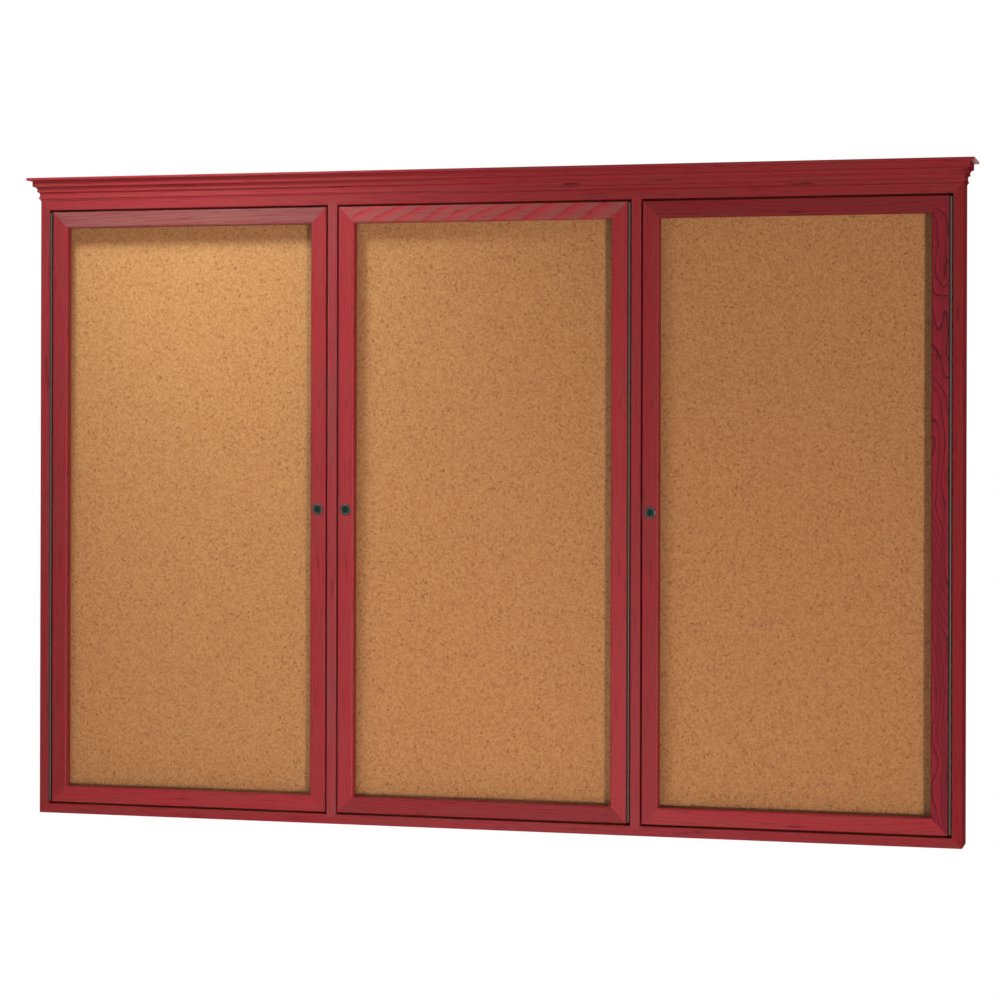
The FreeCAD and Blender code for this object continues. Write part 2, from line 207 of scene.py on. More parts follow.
@dataclass
class Workpiece:
    """A mesh on the bench, shaped in edit mode in the frame's own coordinates."""

    piece: bpy.types.Object

    @classmethod
    def rod(
        cls,
        name: str,
        radius: float,
        ends: tuple[float, float],
        axis: tuple[float, float],
        sides: int = 64,
    ) -> "Workpiece":
        """Put a round blank on the bench, its axis along Y, ready to be shaped.

        Args:
            name: The piece's name.
            radius: The blank's radius, in millimetres.
            ends: The Y of its front and back ends, in millimetres.
            axis: The X and Z of its axis, in millimetres.
            sides: How many flat sides stand for the round.

        Returns:
            The workpiece, in edit mode.
        """
        bpy.ops.object.select_all(action="DESELECT")
        front, back = ends
        bpy.ops.mesh.primitive_cylinder_add(
            vertices=sides,
            radius=radius * MM,
            depth=(back - front) * MM,
            location=(axis[0] * MM, (front + back) / 2 * MM, axis[1] * MM),
            rotation=(math.pi / 2, 0.0, 0.0),
        )
        return cls.begin(name)

    @classmethod
    def bar(
        cls, name: str, middle: tuple[float, float, float], size: tuple[float, float, float]
    ) -> "Workpiece":
        """Put a square-edged blank on the bench, ready to be shaped.

        Args:
            name: The piece's name.
            middle: The blank's middle, in millimetres.
            size: Its lengths along X, Y and Z, in millimetres.

        Returns:
            The workpiece, in edit mode.
        """
        bpy.ops.object.select_all(action="DESELECT")
        bpy.ops.mesh.primitive_cube_add(
            size=1.0,
            location=tuple(part * MM for part in middle),
            scale=tuple(part * MM for part in size),
        )
        return cls.begin(name)

    @classmethod
    def begin(cls, name: str) -> "Workpiece":
        """Name the primitive just added, settle its place and open it for work.

        Args:
            name: The piece's name.

        Returns:
            The workpiece, in edit mode.
        """
        piece = bpy.context.object
        piece.name = piece.data.name = name
        bpy.ops.object.transform_apply(location=True, rotation=True, scale=True)
        bpy.ops.object.mode_set(mode="EDIT")
        return cls(piece)

    def pick_faces(self, wanted: Callable[[Vector, Vector], bool]) -> None:
        """Select the faces that pass a test.

        Args:
            wanted: Takes a face's middle and normal, and says whether it is picked.
        """
        bpy.ops.mesh.select_mode(type="FACE")
        bpy.ops.mesh.select_all(action="DESELECT")
        mesh = bmesh.from_edit_mesh(self.piece.data)
        mesh.normal_update()
        for face in mesh.faces:
            face.select_set(wanted(face.calc_center_median(), face.normal))
        bmesh.update_edit_mesh(self.piece.data)

    def pick_edges(self, wanted: Callable[[Vector, Vector], bool]) -> None:
        """Select the edges that pass a test.

        Args:
            wanted: Takes the places of an edge's two ends and says whether it is picked.
        """
        bpy.ops.mesh.select_mode(type="EDGE")
        bpy.ops.mesh.select_all(action="DESELECT")
        mesh = bmesh.from_edit_mesh(self.piece.data)
        for edge in mesh.edges:
            edge.select_set(wanted(*(corner.co for corner in edge.verts)))
        bmesh.update_edit_mesh(self.piece.data)

    def inset(self, width: float) -> None:
        """Inset the picked faces by a width in millimetres."""
        bpy.ops.mesh.inset(thickness=width * MM)

    def extrude(self, move: tuple[float, float, float]) -> None:
        """Extrude the picked faces by a move in millimetres."""
        step = tuple(part * MM for part in move)
        bpy.ops.mesh.extrude_region_move(TRANSFORM_OT_translate={"value": step})

    def bevel(self, width: float, segments: int) -> None:
        """Round the picked edges by a width in millimetres."""
        bpy.ops.mesh.bevel(offset=width * MM, segments=segments, affect="EDGES")

    def cut(self, tool: "Workpiece") -> None:
        """Cut another workpiece out of this one and throw that tool away.

        Args:
            tool: The finished workpiece that has the shape of the hole.
        """
        bpy.context.view_layer.objects.active = self.piece
        modifier = self.piece.modifiers.new("cut", "BOOLEAN")
        modifier.operation = "DIFFERENCE"
        modifier.solver = "EXACT"
        modifier.object = tool.piece
        bpy.ops.object.modifier_apply(modifier="cut")
        bpy.data.objects.remove(tool.piece)

    def finish(self) -> bpy.types.Object:
        """Merge doubles, turn the faces outwards and close the piece.

        Returns:
            The piece, back in object mode.
        """
        bpy.ops.mesh.select_all(action="SELECT")
        bpy.ops.mesh.remove_doubles(threshold=SAME * MM)
        bpy.ops.mesh.normals_make_consistent(inside=False)
        bpy.ops.object.mode_set(mode="OBJECT")
        return self.piece


def smooth(piece: bpy.types.Object, angle: float = 32.0) -> None:
    """Shade a piece smooth except at its sharp edges.

    Args:
        piece: The finished piece.
        angle: The largest angle, in degrees, that is shaded smooth.
    """
    bpy.ops.object.select_all(action="DESELECT")
    piece.select_set(True)
    bpy.context.view_layer.objects.active = piece
    bpy.ops.object.shade_smooth_by_angle(angle=math.radians(angle))


def set_down(
    piece: bpy.types.Object,
    body: str,
    material: bpy.types.Material,
    replaced: tuple[str, ...] = (),
) -> None:
    """Hand a new piece over to the frame.

    Args:
        piece: The finished piece.
        body: The body that it moves with.
        material: Its finish.
        replaced: The nodes that it stands for.
    """
    dress(piece, material)
    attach(piece, body)
    if replaced:
        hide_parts(*replaced)


def lay_grain(
    tree: bpy.types.NodeTree, grain: Grain, pith: tuple[float, float] = (0.0, 0.0)
) -> bpy.types.NodeSocket:
    """Turn a point on the board into its place along, behind and across the grain.

    Args:
        tree: The material's tree.
        grain: Which way the board's grain runs.
        pith: How far the pith lies behind the wall's plane and to the side, in millimetres.

    Returns:
        The place's socket.
    """
    place = add_node(tree, "ShaderNodeTexCoord").outputs["Object"]
    shift = (0.0, pith[0] * MM, pith[1] * MM)
    return add_node(
        tree, "ShaderNodeMapping", {"Vector": place, "Rotation": grain.value, "Location": shift}
    ).outputs["Vector"]


def grain_noise(
    tree: bpy.types.NodeTree,
    board: bpy.types.NodeSocket,
    marks: tuple[float, float, float],
    detail: float,
    distortion: float = 0.0,
) -> bpy.types.NodeSocket:
    """Make a noise drawn out along the grain.

    Args:
        tree: The material's tree.
        board: The place along, behind and across the grain.
        marks: How many marks there are in a metre each way.
        detail: How many finer layers the noise has.
        distortion: How far the noise is bent.

    Returns:
        A socket between 0 and 1.
    """
    drawn = add_node(tree, "ShaderNodeMapping", {"Vector": board, "Scale": marks})
    inputs = {"Vector": drawn.outputs[0], "Scale": 1.0, "Detail": detail, "Distortion": distortion}
    return add_node(tree, "ShaderNodeTexNoise", inputs).outputs["Fac"]


def shown_rays(tree: bpy.types.NodeTree) -> bpy.types.NodeSocket:
    """Tell the rays that show a surface from those that only light the board.

    Args:
        tree: The material's or world's tree.

    Returns:
        A socket that is 1 for a surface seen straight, through glass or in a mirror.
    """
    path = add_node(tree, "ShaderNodeLightPath").outputs
    shown = path["Is Camera Ray"]
    for other in ("Is Transmission Ray", "Is Glossy Ray"):
        shown = add_node(
            tree, "ShaderNodeMath", {0: shown, 1: path[other]}, operation="MAXIMUM"
        ).outputs[0]
    return shown


def seal(
    material: bpy.types.Material,
    sockets: dict[str, Any],
    height: bpy.types.NodeSocket,
    strength: float,
    depth: float,
    sunken: bool = False,
) -> bpy.types.Material:
    """Close a material with its surface and the relief that its pattern gives it.

    Args:
        material: The material, its pattern made.
        sockets: The surface's own values and colours.
        height: The pattern.
        strength: How strongly the relief shows.
        depth: How far the pattern stands out, in millimetres.
        sunken: Whether it lies in the surface instead.

    Returns:
        The material.
    """
    tree = material.node_tree
    reach = {"Height": height, "Strength": strength, "Distance": depth * MM}
    relief = add_node(tree, "ShaderNodeBump", reach, invert=sunken)
    surface = {**sockets, "Normal": relief.outputs["Normal"]}
    shader = add_node(tree, "ShaderNodeBsdfPrincipled", surface)
    add_node(tree, "ShaderNodeOutputMaterial", {"Surface": shader.outputs[0]})
    return material


@dataclass(frozen=True)
class StainedOak:
    """Red oak under a cherry stain and a satin varnish.

    The stain settles dark in the pores where each ring begins and dulls to brown in the
    spring wood, so slash-cut boards show flames and quartered ones show stripes, with short
    dark dashes along the grain. Rings are drawn 6 mm apart or more and the dashes 2.4 mm
    wide, coarser than real ones, because finer ones don't show from here.

    Attributes:
        board: The board that it is on.
        grain: Which way the grain runs.
        pith: How far the pith lies behind the wall's plane and to the side.
        tone: The stain's colours.
        depth: How much of the light the stain gives back, 1 being its plain colour.
        gloss: How strongly the varnish mirrors.
        sawing: How the board lay in its trunk.
        streak_marks: How many streaks there are in a metre along, behind and across.
        pore_marks: The same for the pores.
        dash_marks: The same for the dark dashes.
        bend_marks: How many times in a metre the rings wander along the grain.
        bend_gain: How far noise is stretched, because it seldom leaves its middle.
        roughness: How dull the varnish is.
        dulling: How far that goes up and down with the streaks.
        ior: How strongly the varnish bends light.
        pore_relief: How deep the pores are, in millimetres.
    """

    board: str
    grain: Grain
    pith: tuple[float, float]
    tone: Tone = Tone.CRIMSON
    depth: float = 1.0
    gloss: float = SATIN
    sawing: Sawing = Sawing(figure=0.55)
    streak_marks: tuple[float, float, float] = (5.0, 130.0, 130.0)
    pore_marks: tuple[float, float, float] = (26.0, 420.0, 420.0)
    dash_marks: tuple[float, float, float] = (9.0, 70.0, 70.0)
    bend_marks: float = 3.2
    bend_gain: float = 4.0
    roughness: float = 0.4
    dulling: float = 0.14
    ior: float = 1.45
    pore_relief: float = 0.2

    def material(self) -> bpy.types.Material:
        """Build the finish.

        Returns:
            The material for one board.
        """
        material, tree = new_material(f"cherry_stained_oak_{self.board}")
        board = lay_grain(tree, self.grain, self.pith)
        late, spring, pore = (self.stain(colour) for colour in self.tone.value)
        wood, row = self.rings(tree, board)
        streaks = grain_noise(tree, board, self.streak_marks, detail=4.0)
        pores = grain_noise(tree, board, self.pore_marks, detail=2.0)
        dashes = grain_noise(tree, board, self.dash_marks, detail=3.0)
        colour: Any = late
        # Each layer's gain and lift turn its noise into the share of its colour that shows.
        for layer, gain, lift, over in (
            (wood, self.sawing.figure, 0.0, spring),
            (row, self.sawing.line, 0.0, pore),
            (streaks, 2.4, -1.0, spring),
            (streaks, -2.2, 0.72, pore),
            (pores, 2.4, -1.35, pore),
            (dashes, 9.0, -5.9, pore),
        ):
            share = add_node(
                tree,
                "ShaderNodeMath",
                {0: layer, 1: gain, 2: lift},
                operation="MULTIPLY_ADD",
                use_clamp=True,
            ).outputs[0]
            colour = add_node(
                tree, "ShaderNodeMix", {0: share, 6: colour, 7: over}, data_type="RGBA"
            ).outputs[2]
        roughness = add_node(
            tree,
            "ShaderNodeMath",
            {0: streaks, 1: self.dulling, 2: self.roughness - self.dulling / 2},
            operation="MULTIPLY_ADD",
        ).outputs[0]
        surface = {
            "Base Color": colour,
            "Roughness": roughness,
            "IOR": self.ior,
            "Specular IOR Level": self.gloss,
        }
        return seal(material, surface, pores, strength=0.15, depth=self.pore_relief, sunken=True)

    def stain(self, colour: str) -> tuple[float, float, float, float]:
        """Give a stain colour at the depth that this board took it up."""
        red, green, blue, alpha = linear(colour)
        return (red * self.depth, green * self.depth, blue * self.depth, alpha)

    def rings(
        self, tree: bpy.types.NodeTree, board: bpy.types.NodeSocket
    ) -> list[bpy.types.NodeSocket]:
        """Make the growth rings round the pith, bent by the way the trunk grew.

        Args:
            tree: The material's tree.
            board: The place along, behind and across the grain.

        Returns:
            A socket that is 1 in the spring wood and 0 in the late wood, and one that is 1 in
            the row of dark pores where a ring begins.
        """
        sawing = self.sawing
        turn = (0.0, math.radians(sawing.run_out), 0.0)
        turned = add_node(tree, "ShaderNodeMapping", {"Vector": board, "Rotation": turn})
        marks = (self.bend_marks, sawing.sway, sawing.sway)
        slow = add_node(tree, "ShaderNodeMapping", {"Vector": board, "Scale": marks})
        bend = add_node(
            tree,
            "ShaderNodeTexNoise",
            {
                "Vector": slow.outputs[0],
                "Scale": 1.0,
                "Detail": sawing.detail,
                "Roughness": sawing.ragged,
            },
        ).outputs["Fac"]
        section = add_node(
            tree,
            "ShaderNodeVectorMath",
            {0: turned.outputs[0], 1: (0.0, 1.0, 1.0)},
            operation="MULTIPLY",
        )
        radius = add_node(
            tree, "ShaderNodeVectorMath", {0: section.outputs["Vector"]}, operation="LENGTH"
        )
        bent = add_node(
            tree,
            "ShaderNodeMath",
            {0: bend, 1: self.bend_gain * sawing.wander * MM, 2: radius.outputs["Value"]},
            operation="MULTIPLY_ADD",
        )
        count = add_node(
            tree,
            "ShaderNodeMath",
            {0: bent.outputs[0], 1: 1 / (sawing.pitch * MM)},
            operation="MULTIPLY",
        )
        part = add_node(tree, "ShaderNodeMath", {0: count.outputs[0]}, operation="FRACT")
        levels = []
        # The stops go from a ring's start to its end: spring wood, then the row of pores.
        for stops in (
            ((0.0, 0.0), (0.22, 1.0), (0.5, 0.75), (1.0, 0.0)),
            ((0.0, 1.0), (0.03, 1.0), (0.2, 0.0), (0.92, 0.0), (1.0, 1.0)),
        ):
            ramp = add_node(tree, "ShaderNodeValToRGB", {"Fac": part.outputs[0]})
            ramp.color_ramp.interpolation = "EASE"
            for end, (_, level) in zip(ramp.color_ramp.elements, (stops[0], stops[-1])):
                end.color = (level, level, level, 1.0)
            for at, level in stops[1:-1]:
                ramp.color_ramp.elements.new(at).color = (level, level, level, 1.0)
            levels.append(ramp.outputs["Color"])
        return levels


@dataclass(frozen=True)
class PlainWood:
    """Bare poplar or plywood, planed and left unfinished.

    Planing leaves it matt and nearly flat, with faint straw and brown streaks along the
    grain. The streaks are drawn 8 mm wide, broader than real ones, to show from here.
    """

    name: str
    grain: Grain
    base: str = "#c9a878"
    dark: str = "#a67f50"
    streak_marks: tuple[float, float, float] = (5.0, 120.0, 120.0)
    roughness: float = 0.72
    grain_relief: float = 0.3

    def material(self) -> bpy.types.Material:
        """Build the finish.

        Returns:
            The material.
        """
        material, tree = new_material(self.name)
        board = lay_grain(tree, self.grain)
        streaks = grain_noise(tree, board, self.streak_marks, detail=4.0, distortion=0.4)
        colour = add_node(
            tree,
            "ShaderNodeMix",
            {0: streaks, 6: linear(self.base), 7: linear(self.dark)},
            data_type="RGBA",
        ).outputs[2]
        surface = {"Base Color": colour, "Roughness": self.roughness}
        return seal(material, surface, streaks, strength=0.2, depth=self.grain_relief)


@dataclass(frozen=True)
class BoardCork:
    """Sheet cork, pressed from granules and sanded flat.

    Pressing gives a fine mottle of close browns with a few dark specks of bark, and sanding
    leaves it matt. The granules are drawn 3.2 mm wide, about twice the real ones, because
    finer ones don't show from here.
    """

    name: str = "sheet_cork"
    granule: float = 3.2
    granule_share: float = 0.6
    grit_marks: float = 600.0
    dark_level: float = 0.42
    base_level: float = 0.72
    base: str = "#bc7547"
    dark: str = "#aa683e"
    light: str = "#c78553"
    bark: str = "#7a4426"
    bark_free: float = 0.975
    bark_strength: float = 0.6
    roughness: float = 0.85
    gloss: float = 0.2
    grit_relief: float = 0.3

    def material(self) -> bpy.types.Material:
        """Build the finish.

        Returns:
            The material.
        """
        material, tree = new_material(self.name)
        place = add_node(tree, "ShaderNodeTexCoord").outputs["Object"]
        granules = add_node(
            tree,
            "ShaderNodeTexVoronoi",
            {"Vector": place, "Scale": 1 / (self.granule * MM), "Randomness": 1.0},
            feature="F1",
        )
        chance = add_node(
            tree, "ShaderNodeSeparateColor", {"Color": granules.outputs["Color"]}
        ).outputs
        grit = add_node(
            tree, "ShaderNodeTexNoise", {"Vector": place, "Scale": self.grit_marks, "Detail": 3.0}
        ).outputs["Fac"]
        mottle = add_node(
            tree,
            "ShaderNodeMath",
            {0: chance["Red"], 1: self.granule_share, 2: grit},
            operation="MULTIPLY_ADD",
        ).outputs[0]
        ramp = add_node(tree, "ShaderNodeValToRGB", {"Fac": mottle})
        low, high = ramp.color_ramp.elements
        low.position, low.color = self.dark_level, linear(self.dark)
        high.color = linear(self.light)
        ramp.color_ramp.elements.new(self.base_level).color = linear(self.base)
        speck = add_node(
            tree,
            "ShaderNodeMath",
            {0: chance["Green"], 1: self.bark_free},
            operation="GREATER_THAN",
        )
        share = add_node(
            tree,
            "ShaderNodeMath",
            {0: speck.outputs[0], 1: self.bark_strength},
            operation="MULTIPLY",
        )
        colour = add_node(
            tree,
            "ShaderNodeMix",
            {0: share.outputs[0], 6: ramp.outputs["Color"], 7: linear(self.bark)},
            data_type="RGBA",
        ).outputs[2]
        surface = {
            "Base Color": colour,
            "Roughness": self.roughness,
            "Specular IOR Level": self.gloss,
        }
        return seal(material, surface, mottle, strength=0.2, depth=self.grit_relief)


@dataclass(frozen=True)
class FloatGlass:
    """Clear float glass, thin enough that it bends nothing.

    Floating leaves it without waves, so it lets nearly all the light through with a trace of
    green from its iron, and mirrors more at a slant than face on. The mirror is drawn softer
    and weaker than a clean pane's, as if it looked into a dim room.
    """

    name: str = "float_glass"
    tint: str = "#fbfdfb"
    ior: float = 1.5
    mirror_strength: float = 0.12
    mirror_softness: float = 0.26

    def material(self) -> bpy.types.Material:
        """Build the finish.

        Returns:
            The material.
        """
        material, tree = new_material(self.name)
        clear = add_node(tree, "ShaderNodeBsdfTransparent", {"Color": linear(self.tint)})
        mirror = add_node(tree, "ShaderNodeBsdfGlossy", {"Roughness": self.mirror_softness})
        slant = add_node(tree, "ShaderNodeFresnel", {"IOR": self.ior}).outputs[0]
        share = add_node(
            tree, "ShaderNodeMath", {0: slant, 1: self.mirror_strength}, operation="MULTIPLY"
        ).outputs[0]
        shader = add_node(
            tree, "ShaderNodeMixShader", {0: share, 1: clear.outputs[0], 2: mirror.outputs[0]}
        )
        add_node(tree, "ShaderNodeOutputMaterial", {"Surface": shader.outputs[0]})
        return material


@dataclass(frozen=True)
class PlatedMetal:
    """Metal under a thin plating.

    Tumbling before it is plated and handling afterwards leave faint clouds, about 4 mm wide,
    that are darker and duller than the rest.
    """

    name: str
    base: str
    worn: str
    roughness: float = 0.28
    dulling: float = 0.2
    cloud_marks: float = 260.0
    wear_relief: float = 0.05

    def material(self) -> bpy.types.Material:
        """Build the finish.

        Returns:
            The material.
        """
        material, tree = new_material(self.name)
        place = add_node(tree, "ShaderNodeTexCoord").outputs["Object"]
        clouds = add_node(
            tree, "ShaderNodeTexNoise", {"Vector": place, "Scale": self.cloud_marks, "Detail": 4.0}
        ).outputs["Fac"]
        colour = add_node(
            tree,
            "ShaderNodeMix",
            {0: clouds, 6: linear(self.base), 7: linear(self.worn)},
            data_type="RGBA",
        ).outputs[2]
        roughness = add_node(
            tree,
            "ShaderNodeMath",
            {0: clouds, 1: self.dulling, 2: self.roughness - self.dulling / 2},
            operation="MULTIPLY_ADD",
        ).outputs[0]
        surface = {"Base Color": colour, "Metallic": 1.0, "Roughness": roughness}
        return seal(material, surface, clouds, strength=0.1, depth=self.wear_relief)


@dataclass(frozen=True)
class PaleFloor:
    """A plain pale painted floor, shown paler than it lies in the light, with its shadows."""

    name: str = "pale_floor"
    base: str = "#e6e5e2"
    roughness: float = 0.75
    dulling: float = 0.1
    cloud_marks: float = 2.0
    glow: float = 0.6
    glow_level: float = 0.95

    def material(self) -> bpy.types.Material:
        """Build the finish.

        Returns:
            The material.
        """
        material, tree = new_material(self.name)
        place = add_node(tree, "ShaderNodeTexCoord").outputs["Object"]
        clouds = add_node(
            tree, "ShaderNodeTexNoise", {"Vector": place, "Scale": self.cloud_marks, "Detail": 2.0}
        ).outputs["Fac"]
        roughness = add_node(
            tree,
            "ShaderNodeMath",
            {0: clouds, 1: self.dulling, 2: self.roughness - self.dulling / 2},
            operation="MULTIPLY_ADD",
        ).outputs[0]
        paint = add_node(
            tree,
            "ShaderNodeBsdfPrincipled",
            {"Base Color": linear(self.base), "Roughness": roughness},
        )
        share = add_node(
            tree, "ShaderNodeMath", {0: shown_rays(tree), 1: self.glow}, operation="MULTIPLY"
        )
        pale = add_node(tree, "ShaderNodeEmission", {"Color": WHITE, "Strength": self.glow_level})
        shader = add_node(
            tree,
            "ShaderNodeMixShader",
            {0: share.outputs[0], 1: paint.outputs[0], 2: pale.outputs[0]},
        )
        add_node(tree, "ShaderNodeOutputMaterial", {"Surface": shader.outputs[0]})
        return material


@dataclass
class CamLock:
    """A cam lock's ring, barrel and face plate, measured in millimetres."""

    name: str
    axis: tuple[float, float]
    ring_radius: float = 11.1
    ring_front: float = -72.25
    ring_dome: float = 1.9
    door_front: float = -69.85
    barrel_radius: float = 8.7
    barrel_back: float = -48.15
    bore_radius: float = 7.05
    bore_edge: float = 0.6
    plug_front: float = -71.75
    plate_radius: float = 6.85
    plate_thickness: float = 0.4
    plate_edge: float = 0.18
    dish_border: float = 1.1
    dish_slope: float = 0.35
    dish_depth: float = 0.18
    keyway: tuple[float, float] = (1.6, 8.6)
    keyway_corner: float = 0.5
    rim_slack: float = 0.1

    def build(self) -> None:
        """Model and dress the lock."""
        nickel = PlatedMetal("dull_nickel", "#5b5654", "#403b39", 0.3).material()
        face = PlatedMetal("blackened_brass", "#2b3a33", "#1d2723", 0.36).material()
        housing = f"{self.name}_lock_housing"
        set_down(self.ring(), f"{self.name}_door", nickel, (housing,))
        set_down(self.face_plate(), f"{self.name}_lock_plug_body", face)
        dress(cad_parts[f"{self.name}_lock_nut"], nickel)
        for node in ("lock_plug", "lock_cam"):
            dress(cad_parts[f"{self.name}_{node}"], face)

    def ring(self) -> bpy.types.Object:
        """Shape the housing: the domed ring, the barrel behind it and the plug's bore.

        Returns:
            The finished housing.
        """
        ends = (self.ring_front, self.door_front)
        work = Workpiece.rod(f"{self.name}_lock_ring", self.ring_radius, ends, self.axis)
        work.pick_faces(lambda middle, normal: normal.y < -FACING)
        work.inset(self.ring_radius - self.bore_radius)
        work.extrude((0.0, self.barrel_back - self.ring_front, 0.0))
        bpy.ops.mesh.delete(type="FACE")
        seat = self.door_front
        work.pick_faces(lambda at, normal: normal.y > FACING and abs(at.y / MM - seat) < NEAR)
        work.inset(self.ring_radius - self.barrel_radius)
        work.extrude((0.0, self.barrel_back - self.door_front, 0.0))
        work.inset(self.barrel_radius - self.bore_radius)
        bpy.ops.mesh.delete(type="FACE")
        bpy.ops.mesh.select_all(action="SELECT")
        bpy.ops.mesh.remove_doubles(threshold=NEAR * MM)
        self.round_rim(work, self.ring_radius, self.ring_front, self.ring_dome, segments=7)
        self.round_rim(work, self.bore_radius, self.ring_front, self.bore_edge, segments=3)
        piece = work.finish()
        smooth(piece)
        return piece

    def face_plate(self) -> bpy.types.Object:
        """Shape the thin dished plate on the plug's face, with the keyway through it.

        Returns:
            The finished plate.
        """
        front = self.plug_front - self.plate_thickness
        ends = (front, self.plug_front)
        work = Workpiece.rod(f"{self.name}_lock_face_plate", self.plate_radius, ends, self.axis)
        work.pick_faces(lambda middle, normal: normal.y < -FACING)
        work.inset(self.dish_border)
        work.inset(self.dish_slope)
        work.extrude((0.0, self.dish_depth, 0.0))
        self.round_rim(work, self.plate_radius, front, self.plate_edge, segments=3)
        plate = Workpiece(work.finish())
        plate.cut(self.keyway_tool())
        smooth(plate.piece)
        return plate.piece

    def keyway_tool(self) -> Workpiece:
        """Shape the bar that goes through the face plate and leaves the keyway.

        Returns:
            The bar, ready to be cut out of the plate.
        """
        width, height = self.keyway
        middle = (self.axis[0], self.plug_front, self.axis[1])
        tool = Workpiece.bar("keyway_tool", middle, (width, 4 * self.plate_thickness, height))
        tool.pick_edges(lambda start, end: abs((start - end).normalized().y) > FACING)
        tool.bevel(self.keyway_corner, segments=3)
        tool.finish()
        return tool

    def round_rim(
        self, work: Workpiece, radius: float, level: float, width: float, segments: int
    ) -> None:
        """Round one of the lock's circular edges.

        Args:
            work: The workpiece that has the edge.
            radius: The edge's radius, in millimetres.
            level: The edge's Y, in millimetres.
            width: How far the rounding reaches, in millimetres.
            segments: How many flats stand for the round.
        """
        work.pick_edges(lambda *ends: all(self.on_rim(end, radius, level) for end in ends))
        work.bevel(width, segments)

    def on_rim(self, place: Vector, radius: float, level: float) -> bool:
        """Say whether a point lies on the circular edge at a radius and a Y."""
        from_axis = math.hypot(place.x / MM - self.axis[0], place.z / MM - self.axis[1])
        return abs(from_axis - radius) < self.rim_slack and abs(place.y / MM - level) < NEAR


@dataclass
class FlatScrew:
    """A countersunk wood screw with a cross recess, driven along X, in millimetres."""

    sides: int = 16
    head_radius: float = 2.6
    shank_radius: float = 1.4
    head_depth: float = 1.1
    length: float = 9.525
    point_length: float = 2.5
    point_taper: float = 0.08
    recess_depth: float = 0.9
    recess_reach: float = 3.2
    recess_width: float = 0.6
    recess_taper: float = 0.55

    def pattern(self) -> bpy.types.Object:
        """Shape one screw with its head at the origin and its point towards +X.

        Returns:
            The screw that the others are copied from.
        """
        bpy.ops.object.select_all(action="DESELECT")
        bpy.ops.mesh.primitive_cone_add(
            vertices=self.sides,
            radius1=self.head_radius * MM,
            radius2=self.shank_radius * MM,
            depth=self.head_depth * MM,
            location=(self.head_depth / 2 * MM, 0.0, 0.0),
            rotation=(0.0, math.pi / 2, 0.0),
        )
        work = Workpiece.begin("screw_pattern")
        work.pick_faces(lambda middle, normal: normal.x > FACING)
        work.extrude((self.length - self.point_length - self.head_depth, 0.0, 0.0))
        work.extrude((self.point_length, 0.0, 0.0))
        bpy.ops.transform.resize(value=(1.0, self.point_taper, self.point_taper))
        screw = Workpiece(work.finish())
        for turned in (False, True):
            screw.cut(self.recess_tool(turned))
        smooth(screw.piece)
        return screw.piece

    def recess_tool(self, turned: bool) -> Workpiece:
        """Shape one blade of the cross recess, narrower at its bottom.

        Args:
            turned: Whether this is the blade that lies across the other.

        Returns:
            The blade, ready to be cut out of the head.
        """
        reach, width = self.recess_reach, self.recess_width
        across = (width, reach) if turned else (reach, width)
        tool = Workpiece.bar("recess_tool", (0.0, 0.0, 0.0), (2 * self.recess_depth, *across))
        tool.pick_faces(lambda middle, normal: normal.x > FACING)
        bpy.ops.transform.resize(value=(1.0, self.recess_taper, self.recess_taper))
        tool.finish()
        return tool

    def row(
        self, name: str, pattern: bpy.types.Object, heads: list[tuple[float, float, float, int]]
    ) -> bpy.types.Object:
        """Copy the screw to each place and join the copies.

        Args:
            name: The joined piece's name.
            pattern: The screw that is copied.
            heads: For each screw, its head's X, Y and Z in millimetres and its sense along X.

        Returns:
            The joined screws.
        """
        copies = []
        for x, y, z, sense in heads:
            copy = bpy.data.objects.new(name, pattern.data.copy())
            turn = Matrix.Rotation(0.0 if sense > 0 else math.pi, 4, "Z")
            copy.data.transform(Matrix.Translation((x * MM, y * MM, z * MM)) @ turn)
            bpy.context.scene.collection.objects.link(copy)
            copies.append(copy)
        bpy.ops.object.select_all(action="DESELECT")
        for copy in copies:
            copy.select_set(True)
        bpy.context.view_layer.objects.active = copies[0]
        bpy.ops.object.join()
        return copies[0]


